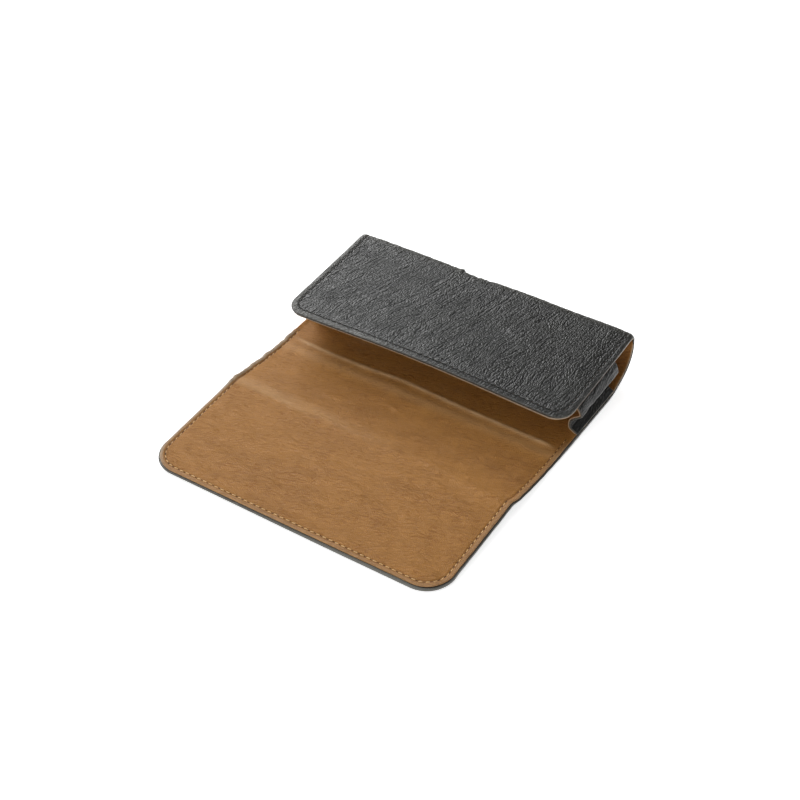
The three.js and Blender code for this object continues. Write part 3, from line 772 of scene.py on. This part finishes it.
def leather_under(x, y):
    """Outer face of the outer leather, under the pouch as it lies open."""
    d = flap_d(x, y)
    base = np.interp(y, [-99.6, -47.5, -42.9, -38.4, -28.8, -14.6, -4, -0.3, 30], [0.0, 3.05, 3.6, 3.95, 2.45, 1.05, 0.35, 0.05, 0.0])
    pillow = 0.30 * ss(4.6, 0.3, d) * ss(6, -2, y)
    left_rise = 0.85 * ss(30, -60, x) * ss(5, 0.5, d) * ss(-80, -96, y)
    side_rise = 0.9 * ss(4.5, 0.5, d) * ss(-95, -80, y) * ss(-30, -50, y)
    seam = 0.22 * bell(d, STRIP_SEAM, 0.5) * ss(6, 0, y)
    g = creased(x, T_BACK + 46 - y) * 0.07 * ss(0.2, 1.5, d)
    h = base + pillow + left_rise + side_rise * 0.6 + seam - g + 0.07
    return np.maximum(h, 0.0)


def sheet_rows(step, inset):
    """y of the rows, from under the pocket to the near edge of the flap."""
    end = FLAP_END + inset
    e = spread([0, 0.012, 0.05, 0.11, 0.2, 0.33, 0.5, 0.75, 1.05, 1.4, 1.75, 2.1, 2.4, 2.65, 2.9, 3.15, 3.45, 3.85, 4.4, 5.1, 6.0], 38.0, step)
    y = end + e
    cuts = [-35.85, -21.7, -7.45]
    out = list(y)
    for a, b in zip([out[-1]] + cuts, cuts + [20.0]):
        n = max(2, int(round((b - a) / step)))
        out += list(np.linspace(a, b, n + 1)[1:])
    return np.array(out)[::-1]


def grid_for(rows, inset, step):
    c = columns(step, HALF, EDGE)
    w = width_at(rows) - inset
    r = FLAP_R - inset
    e = rows - (FLAP_END + inset)
    k = np.clip(e, 0, r)
    half = w - r + np.sqrt(np.maximum(0, r * r - (r - k) ** 2))
    x = half[:, None] * c[None, :]
    y = np.repeat(rows[:, None], len(c), 1)
    return x, y, half


PIECES = ["back", "strip_lower", "strip_upper", "flap"]


def cut_rows(rows):
    """Row ranges of the pieces, which meet half way between two creases."""
    c = [int(np.argmin(np.abs(rows - v))) for v in (-7.45, -21.7, -35.85)]
    edges = [0, *c, len(rows) - 1]
    return [(edges[i], edges[i + 1] + 1) for i in range(4)]


def make_sheets(kind):
    lining = kind == "lining"
    inset = LINING_IN if lining else 0.0
    step = 0.95 if lining else 0.85
    rows = sheet_rows(step, inset)
    x, y, half = grid_for(rows, inset, 0.9)
    d = flap_d(x, y, inset)
    d[:, 0] = d[:, -1] = 0
    d[-1, :] = 0
    wave = outline_wave(x, y)
    push = np.exp(-((d / 2.5) ** 2))
    xs = x + np.sign(x) * wave * push
    if lining:
        up, down = tan_face(x, y), tan_face(x, y, 0.0) - 0.65
        k = edge_round(d, 0.30)
    else:
        up, down = leather_top(x, y), leather_under(x, y)
        k = edge_round(d, 0.45)
    mid = 0.5 * (up + down)
    top = np.stack([xs, y, mid + (up - mid) * k], -1)
    bot = np.stack([xs, y, mid + (down - mid) * k], -1)
    s = WRAP_LENGTH + 20 - y
    uv = np.stack([x * 0.01, s * 0.01], -1)
    df = flap_d(x, y)
    on = ss(9, 3, y)
    # painted shade along the seam groove, stronger at the sides
    groove = bell(df, STRIP_SEAM, 0.36) * (0.5 + 0.5 * ss(-50, -66, x) + 0.25 * ss(50, 66, x)) * on
    # painted shade in the middle of the strip, where the front panel shades it
    groove = np.maximum(groove, 0.30 * ss(-37, -27, y) * ss(-4, -14, y) * ss(-64, -30, x) * (0.85 + 0.3 * gn(x / 16, y / 6, 93)) * ss(2.5, 5, df))
    left = rim_strength(x, y)
    flap_left = ss(-60, -68, x) * ss(-38, -46, y)
    rim = (ss(2.5, 1.9, df) * (0.30 + 0.95 * left) + ss(0.9, 0.2, df) * 0.4 + ss(2.0, 1.3, df) * 0.8 * flap_left) * on
    # painted highlight along the first crease ridge
    painted_highlight = bell(y - np.interp(x, [-66, -60, -45, -30, -10, 5, 25, 45, 66], [2.4, 1.8, 1.1, 1.4, 2.9, 2.2, 1.2, 0.9, 0.4]), 0.0, 0.95) * ss(69, 58, np.abs(x)) * (0.85 + 0.3 * gn(x / 7, 3.3, 91))
    # painted light in the shade just below the mouth
    painted_highlight = painted_highlight + 0.20 * bell(y, -4.0, 3.2)
    # painted highlight on the lit side of the crest, stronger to the left
    painted_highlight = painted_highlight + 0.24 * ss(-32, -38.5, y) * ss(-44.0, -41.0, y) * ss(35, -50, x) * (0.9 + 0.4 * gn(x / 14, y / 3, 92))
    if not lining:
        # painted shade along the seam groove
        groove = bell(df, STRIP_SEAM, 0.5) * 0.8
        # lighter outline edge of the outer leather: partly worn edge, partly painted light against the edge's shade, a
        # little more at the near edge of the flap
        rim = ss(1.8, 0.3, df) * (1.1 + 0.15 * ss(-90, -97, y))
    marks = {"groove": groove, "rim": rim, "painted_highlight": painted_highlight, "calm": ss(4.6, 3.8, df) * (0 if lining else 1)}
    out = []
    for name, (lo, hi) in zip(PIECES, cut_rows(rows)):
        ob = shell(f"{kind}_{name}", top, bot, uv, marks, TAN if lining else BLACK, lo, hi)
        out.append(ob)
    return out


def bend(ob):
    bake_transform(ob)


for kind, names in (("lining", ["back_lining", "spine_lower_lining", "spine_middle_lining", "spine_upper_lining"]),
                    ("leather", ["back_outer_leather", "spine_lower_leather", "spine_middle_leather", "spine_upper_leather"])):
    made = make_sheets(kind)
    for k, ob in enumerate(made):
        bend(ob)
        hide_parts(names[k])
    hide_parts("flap_lining" if kind == "lining" else "flap_outer_leather")


# ------------------------------------------------------------------------------------------------ gussets
GUSSET = [(67.9, 1.0), (69.1, 0.95), (70.4, 0.85), (71.15, 0.745), (71.4, 0.68), (70.9, 0.62), (69.4, 0.53), (67.7, 0.43),
          (66.7, 0.32), (66.7, 0.21), (68.0, 0.115), (69.6, 0.055), (70.5, 0.02)]


def gusset_shell(side, name, d0, d1, y0, y1, material):
    rows = np.r_[spread([0, 0.02, 0.07, 0.16, 0.3, 0.6, 1.0], (y1 - y0) / 2, 0.6)]
    rows = np.r_[y0 + rows, (y1 - rows)[::-1][1:]]
    sec = catmull(GUSSET, 7) * np.array([1.0 if side > 0 else 0.984, 1.0])
    nrm = np.gradient(sec * np.array([1, 15.0]), axis=0)
    nrm /= np.linalg.norm(nrm, axis=1)[:, None]
    out_x, out_z = -nrm[:, 1], nrm[:, 0]  # to the outside of the pouch
    c = np.arange(len(sec))
    tops, bots, uvs, dd = [], [], [], []
    arc = np.r_[0, np.cumsum(np.linalg.norm(np.diff(sec * np.array([1, 15.0]), axis=0), axis=1))]
    for y in rows:
        top_z = 19.35 + 0.0545 * y - 2.04 - 0.33
        f = sec[:, 1]
        # the fold is pinched at the mouth end and opens a little towards the bottom
        slack = 0.35 * gn(y / 9, f * 3.0, 81) * np.sin(np.pi * np.clip(f, 0, 1)) + 0.18 * gn(y / 3.2, f * 9, 82) * np.sin(np.pi * f)
        x = sec[:, 0] + slack
        z = 2.72 + f * (top_z - 2.72) + 0.15 * gn(y / 7, f * 4 + 9, 83) * np.sin(np.pi * f)
        g = 0.05 * creased(arc + 300, np.full_like(arc, y) * 1.0, 17) if d0 == 0 else 0 * x
        tops.append(np.stack([x + out_x * (-d0 + g), np.full_like(x, y), z + out_z * (-d0 + g)], -1))
        bots.append(np.stack([x - out_x * d1, np.full_like(x, y), z - out_z * d1], -1))
        uvs.append(np.stack([(arc + 300) * 0.01, np.full_like(arc, y) * 0.01], -1))
    top, bot, uv = np.array(tops), np.array(bots), np.array(uvs)
    e = np.minimum(rows - y0, y1 - rows)[:, None] + 0 * top[..., 0]
    e2 = np.minimum(arc, arc[-1] - arc)[None, :] + 0 * e
    e = np.minimum(e, e2)
    k = edge_round(e, 0.3)
    mid = 0.5 * (top + bot)
    top, bot = mid + (top - mid) * k[..., None], mid + (bot - mid) * k[..., None]
    top[..., 0] *= side
    bot[..., 0] *= side
    # the cut edges are lighter, and the skin gets a painted highlight along the crest of its fold
    rim = ss(0.5, 0.1, e) * 1.0 + (1.1 * bell(arc, arc[np.argmax(sec[:, 0])] + 0.3, 0.42)[None, :] if d0 == 0 else 0) + 0 * e
    ob = shell(name, top, bot, uv, {"groove": 0 * e, "rim": rim, "painted_highlight": 0 * e, "calm": 0.5 + 0 * e}, material)
    return ob


for side, word in ((-1, "left"), (1, "right")):
    near = 13.0 if side > 0 else 17.0
    a = gusset_shell(side, f"gusset_{word}_skin", 0.0, 0.75, near, 47.5, BLACK)
    b = gusset_shell(side, f"gusset_{word}_inner", 0.85, 1.35, near + 0.1, 47.4, TAN)
    for ob, node, slot in ((a, "leather", "black_leather"), (b, "lining", "tan_lining")):
        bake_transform(ob)
        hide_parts(f"gusset_{word}_{node}")


# ------------------------------------------------------------------------------------------------ stitches
def run_points(half, start, end, r, sign):
    """Points and directions along a run round three sides, as (across, along)."""
    pts = []
    n = 400
    for v in np.linspace(start, end - sign * r, n, endpoint=False):
        pts.append((-half, v))
    for a in np.linspace(0, np.pi / 2, 60, endpoint=False):
        pts.append((-half + r - r * np.cos(a), end - sign * r + sign * r * np.sin(a)))
    for v in np.linspace(-half + r, half - r, n, endpoint=False):
        pts.append((v, end))
    for a in np.linspace(np.pi / 2, 0, 60, endpoint=False):
        pts.append((half - r + r * np.cos(a), end - sign * r + sign * r * np.sin(a)))
    for v in np.linspace(end - sign * r, start, n):
        pts.append((half, v))
    return np.array(pts)


def along_run(pts, pitch, first=0.6):
    s = np.r_[0, np.cumsum(np.linalg.norm(np.diff(pts, axis=0), axis=1))]
    out = []
    v = first
    while v + pitch < s[-1]:
        out.append((v, v + pitch))
        v += pitch
    f = lambda q: np.stack([np.interp(q, s, pts[:, 0]), np.interp(q, s, pts[:, 1])], -1)
    return out, f


def stitches(name, pts, surface, pitch, length, radius, rise, material, slant=0.0, sink=0.0, seed=5, flat=0.75):
    """One mesh of separate stitches, each an arched, flattened piece of thread going in and out through its two holes,
    with a dark plug of painted shade for the hole at each end.
    """
    runs, f = along_run(pts, pitch)
    verts, faces, uv, mats = [], [], [], []
    ring, rings = 8, 9
    for i, (a, b) in enumerate(runs):
        mid = 0.5 * (a + b)
        jit = 0.06 * float(gn(i * 1.37, 0.5, seed))
        q = np.linspace(mid - length / 2, mid + length / 2, rings)
        p2 = f(q)
        dirn = np.gradient(p2, axis=0)
        dirn /= np.maximum(1e-9, np.linalg.norm(dirn, axis=1))[:, None]
        side2 = np.stack([-dirn[:, 1], dirn[:, 0]], -1)
        p2 = p2 + side2 * (slant * np.linspace(-1, 1, rings))[:, None] + side2 * jit
        tau = np.linspace(-1, 1, rings)
        arch = 1 - np.abs(tau) ** 3.2
        s_here = sink(p2[rings // 2, 0], p2[rings // 2, 1]) if callable(sink) else sink
        base, nrm, tx, ty = surface(p2[:, 0], p2[:, 1])
        centre = base + nrm * ((rise - s_here) * arch - 0.16 * (1 - arch))[:, None]
        fwd = np.gradient(centre, axis=0)
        fwd /= np.linalg.norm(fwd, axis=1)[:, None]
        side = np.cross(nrm, fwd)
        side /= np.linalg.norm(side, axis=1)[:, None]
        upv = np.cross(fwd, side)
        w = radius * (0.72 + 0.28 * np.sqrt(np.maximum(0, 1 - tau**4)))
        o = len(verts)
        for k in range(rings):
            for j in range(ring):
                ang = 2 * np.pi * j / ring
                verts.append(centre[k] + side[k] * w[k] * np.cos(ang) + upv[k] * w[k] * flat * np.sin(ang))
                uv.append(((i * 3.1 + (tau[k] + 1) * length / 2) * 0.01, j / ring * 1.6 * 0.01))
        for k in range(rings - 1):
            for j in range(ring):
                j2 = (j + 1) % ring
                faces.append([o + k * ring + j, o + k * ring + j2, o + (k + 1) * ring + j2, o + (k + 1) * ring + j])
                mats.append(0)
        faces.append([o + j for j in reversed(range(ring))])
        faces.append([o + (rings - 1) * ring + j for j in range(ring)])
        mats += [0, 0]
    # needle holes: small domed dark plugs in the leather between two stitches, painted shade that stands in for the
    # holes
    for i in range(len(runs) + 1):
        q = runs[i][0] if i < len(runs) else runs[-1][1]
        p2 = f(np.array([q - 0.05, q, q + 0.05]))
        dirn = p2[2] - p2[0]
        dirn /= np.linalg.norm(dirn)
        base, nrm, tx, ty = surface(p2[1:2, 0], p2[1:2, 1])
        c, n3 = base[0], nrm[0]
        t3 = tx[0] * dirn[0] + ty[0] * dirn[1]
        t3 /= np.linalg.norm(t3)
        s3 = np.cross(n3, t3)
        o = len(verts)
        la, lb = (pitch - length) / 2 + 0.16, radius * 0.95
        prof = [(1.0, 0.0), (0.82, 0.045), (0.45, 0.065)]
        for rr, hh in prof:
            for j in range(10):
                ang = 2 * np.pi * j / 10
                verts.append(c + t3 * la * rr * np.cos(ang) + s3 * lb * rr * np.sin(ang) + n3 * (hh - 0.005))
                uv.append(((q + rr * np.cos(ang)) * 0.01, rr * np.sin(ang) * 0.01))
        verts.append(c + n3 * 0.065)
        uv.append((q * 0.01, 0))
        verts.append(c - n3 * 0.18)
        uv.append((q * 0.01, 0))
        for k in range(2):
            for j in range(10):
                j2 = (j + 1) % 10
                faces.append([o + k * 10 + j, o + k * 10 + j2, o + (k + 1) * 10 + j2, o + (k + 1) * 10 + j])
                mats.append(1)
        for j in range(10):
            j2 = (j + 1) % 10
            faces.append([o + 20 + j, o + 20 + j2, o + 30])
            faces.append([o + j2, o + j, o + 31])
            mats += [1, 1]
    verts = np.array(verts)
    me = bpy.data.meshes.new(name)
    me.from_pydata(put(verts).tolist(), [], faces)
    me.update()
    layer = me.uv_layers.new(name="flat")
    loops = np.zeros(len(me.loops), np.int32)
    me.loops.foreach_get("vertex_index", loops)
    layer.data.foreach_set("uv", np.array(uv, np.float32)[loops].ravel())
    me.materials.append(material)
    me.materials.append(HOLE_SHADE)
    me.polygons.foreach_set("material_index", np.array(mats, np.int32))
    me.polygons.foreach_set("use_smooth", np.ones(len(me.polygons), bool))
    ob = bpy.data.objects.new(name, me)
    scene.collection.objects.link(ob)
    return ob


def numeric(surf):
    """surface(a, b) -> points, normals and the two tangents, by small differences."""

    def go(a, b):
        e = 0.25
        c = surf(a, b)
        ta = (surf(a + e, b) - surf(a - e, b)) / (2 * e)
        tb = (surf(a, b + e) - surf(a, b - e)) / (2 * e)
        n = np.cross(ta, tb)
        n /= np.linalg.norm(n, axis=1)[:, None]
        if n[0, 2] < 0:
            n = -n
        return c, n, ta, tb

    return go


def front_at(a, b):
    a, b = np.asarray(a, float), np.asarray(b, float)
    return front_surface(a, b, 0.0, 0.4)


def flap_at(a, b):
    a, b = np.asarray(a, float), np.asarray(b, float)
    return np.stack([a, b, tan_face(a, b, 0.0)], -1)


def under_at(a, b):
    a, b = np.asarray(a, float), np.asarray(b, float)
    p = np.stack([a, b, leather_under(a, b)], -1)
    return p


# the front panel's seam follows its groove, closer to the edge along the sides
def front_run():
    base = run_points(HALF - 3.7, T_FOLD - 3.0, 3.7, FRONT_R - 3.7, -1)
    out = base.copy()
    k = 0.8 * ss(3.0, 14.0, base[:, 1]) * ss(HALF - 9, HALF - 4.5, np.abs(base[:, 0]))
    out[:, 0] = base[:, 0] + np.sign(base[:, 0]) * k
    return out


front_stitches = stitches("stitches_front", front_run(), numeric(front_at), 2.95, 2.3, 0.3, 0.24, BLACK_THREAD, slant=0.06, seed=5)
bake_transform(front_stitches)
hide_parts("front_stitching")


def flap_sink(x, y):
    """The stitches lie deeper along the right side and round its corner than along the near edge."""
    return float(0.17 * ss(58, 66, x) + 0.24 * ss(-60, -66, x))


flap_run = run_points(69.75 - STRIP_SEAM, -42.9 + 0.0, FLAP_END + STRIP_SEAM, FLAP_R - STRIP_SEAM, -1)
flap_stitches = stitches("stitches_flap", flap_run, numeric(flap_at), 2.9, 1.8, 0.19, 0.16, PALE_THREAD, slant=0.09, sink=flap_sink, seed=6)
bend(flap_stitches)
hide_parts("flap_stitching")


def numeric_down(a, b):
    c, n, ta, tb = numeric(under_at)(a, b)
    return c, -n, ta, tb


# the same seam seen from outside: black thread round the flap and along the sides of the strip and the back
CUTS = [20.0, -7.45, -21.7, -35.85, -200.0]
for k, word in enumerate(PIECES):
    if k == 3:
        out_run = run_points(69.75 - STRIP_SEAM, -36.4, FLAP_END + STRIP_SEAM, FLAP_R - STRIP_SEAM, -1)
        ob = stitches("stitches_under_flap", out_run, numeric_down, 2.9, 2.2, 0.24, 0.12, BLACK_THREAD, slant=0.06, seed=7)
        bend(ob)
        continue
    for sign, tag in ((-1, "left"), (1, "right")):
        side_run = np.array([(sign * (width_at(v) - STRIP_SEAM), v) for v in np.linspace(CUTS[k] - 0.3, CUTS[k + 1] + 0.3, 80)])
        ob = stitches(f"stitches_under_{word}_{tag}", side_run, numeric_down, 2.9, 2.2, 0.24, 0.12, BLACK_THREAD, slant=0.06, seed=8 + k)
        bend(ob)

# and its sunk thread on the tan face, along the sides of the strip
for k, word in ((0, "back"), (1, "strip_lower"), (2, "strip_upper")):
    for sign, tag in ((-1, "left"), (1, "right")):
        top_y = 8.0 if k == 0 else CUTS[k] - 0.3
        side_run = np.array([(sign * (width_at(v) - STRIP_SEAM), v) for v in np.linspace(top_y, CUTS[k + 1] + 0.3, 80)])
        ob = stitches(f"stitches_{word}_{tag}", side_run, numeric(flap_at), 2.9, 1.75, 0.17, -0.06, PALE_THREAD, slant=0.05, seed=12 + k)
        bend(ob)

# ------------------------------------------------------------------------------------------------ carried CAD nodes
for name, mat in (("back_stiffener", BOARD), ("front_stiffener", BOARD), ("flap_stiffener", BOARD),
                  ("flap_magnet_left", NICKEL), ("flap_magnet_right", NICKEL),
                  ("front_steel_disc_left", STEEL), ("front_steel_disc_right", STEEL)):
    ob = nodes[name]
    ob.data.materials.clear()
    ob.data.materials.append(mat)

# ------------------------------------------------------------------------------------------------ stage, light, camera
floor_mesh = bpy.data.meshes.new("floor")
floor_mesh.from_pydata([(-4, -4, -0.0004), (4, -4, -0.0004), (4, 4, -0.0004), (-4, 4, -0.0004)], [], [(0, 1, 2, 3)])
floor = bpy.data.objects.new("floor", floor_mesh)
scene.collection.objects.link(floor)
fm = Net("floor_white")
fm.b.inputs["Base Color"].default_value = (0.93, 0.93, 0.93, 1)
fm.b.inputs["Roughness"].default_value = 0.9
fm.b.inputs["Emission Color"].default_value = (1, 1, 1, 1)
fm.b.inputs["Emission Strength"].default_value = 0.7
floor_mesh.materials.append(fm.mat)

world = bpy.data.worlds.new("studio")
scene.world = world
world.use_nodes = True
world.node_tree.nodes["Background"].inputs[0].default_value = (1, 1, 1, 1)
world.node_tree.nodes["Background"].inputs[1].default_value = 0.18


def softbox(name, place, aim, size, size_y, power, colour=(1, 1, 1)):
    light = bpy.data.lights.new(name, "AREA")
    light.shape = "RECTANGLE"
    light.size, light.size_y, light.energy, light.color = size, size_y, power, colour
    ob = bpy.data.objects.new(name, light)
    scene.collection.objects.link(ob)
    ob.location = place
    ob.rotation_euler = (Vector(aim) - Vector(place)).to_track_quat("-Z", "Y").to_euler()
    return ob


softbox("key", (-0.80, 0.26, 0.72), (-0.02, 0.03, 0), 0.6, 0.55, 7.2)
softbox("sheen", (-0.50, 0.50, 0.34), (-0.03, 0.05, 0), 0.34, 0.26, 1.8)
softbox("top", (-0.25, -0.1, 1.5), (0, 0, 0), 1.2, 1.2, 5.0)
softbox("fill", (0.05, -0.78, 0.42), (0, 0, 0), 0.8, 0.5, 3.2)

cam_data = bpy.data.cameras.new("camera")
cam = bpy.data.objects.new("camera", cam_data)
scene.collection.objects.link(cam)
cam_data.lens = 73.125
cam_data.sensor_width = 36.0
cam_data.clip_start, cam_data.clip_end = 0.01, 30.0
rot = Matrix(((0.84832544, -0.3555909, 0.3922997), (0.52869033, 0.52855706, -0.66416411), (0.02881794, 0.77083237, 0.63638588)))
cam.matrix_world = Matrix.Translation((0.26971813, -0.45487489, 0.44621067)) @ rot.to_4x4()
scene.camera = cam
scene.view_settings.view_transform = "Standard"

bpy.context.view_layer.update()
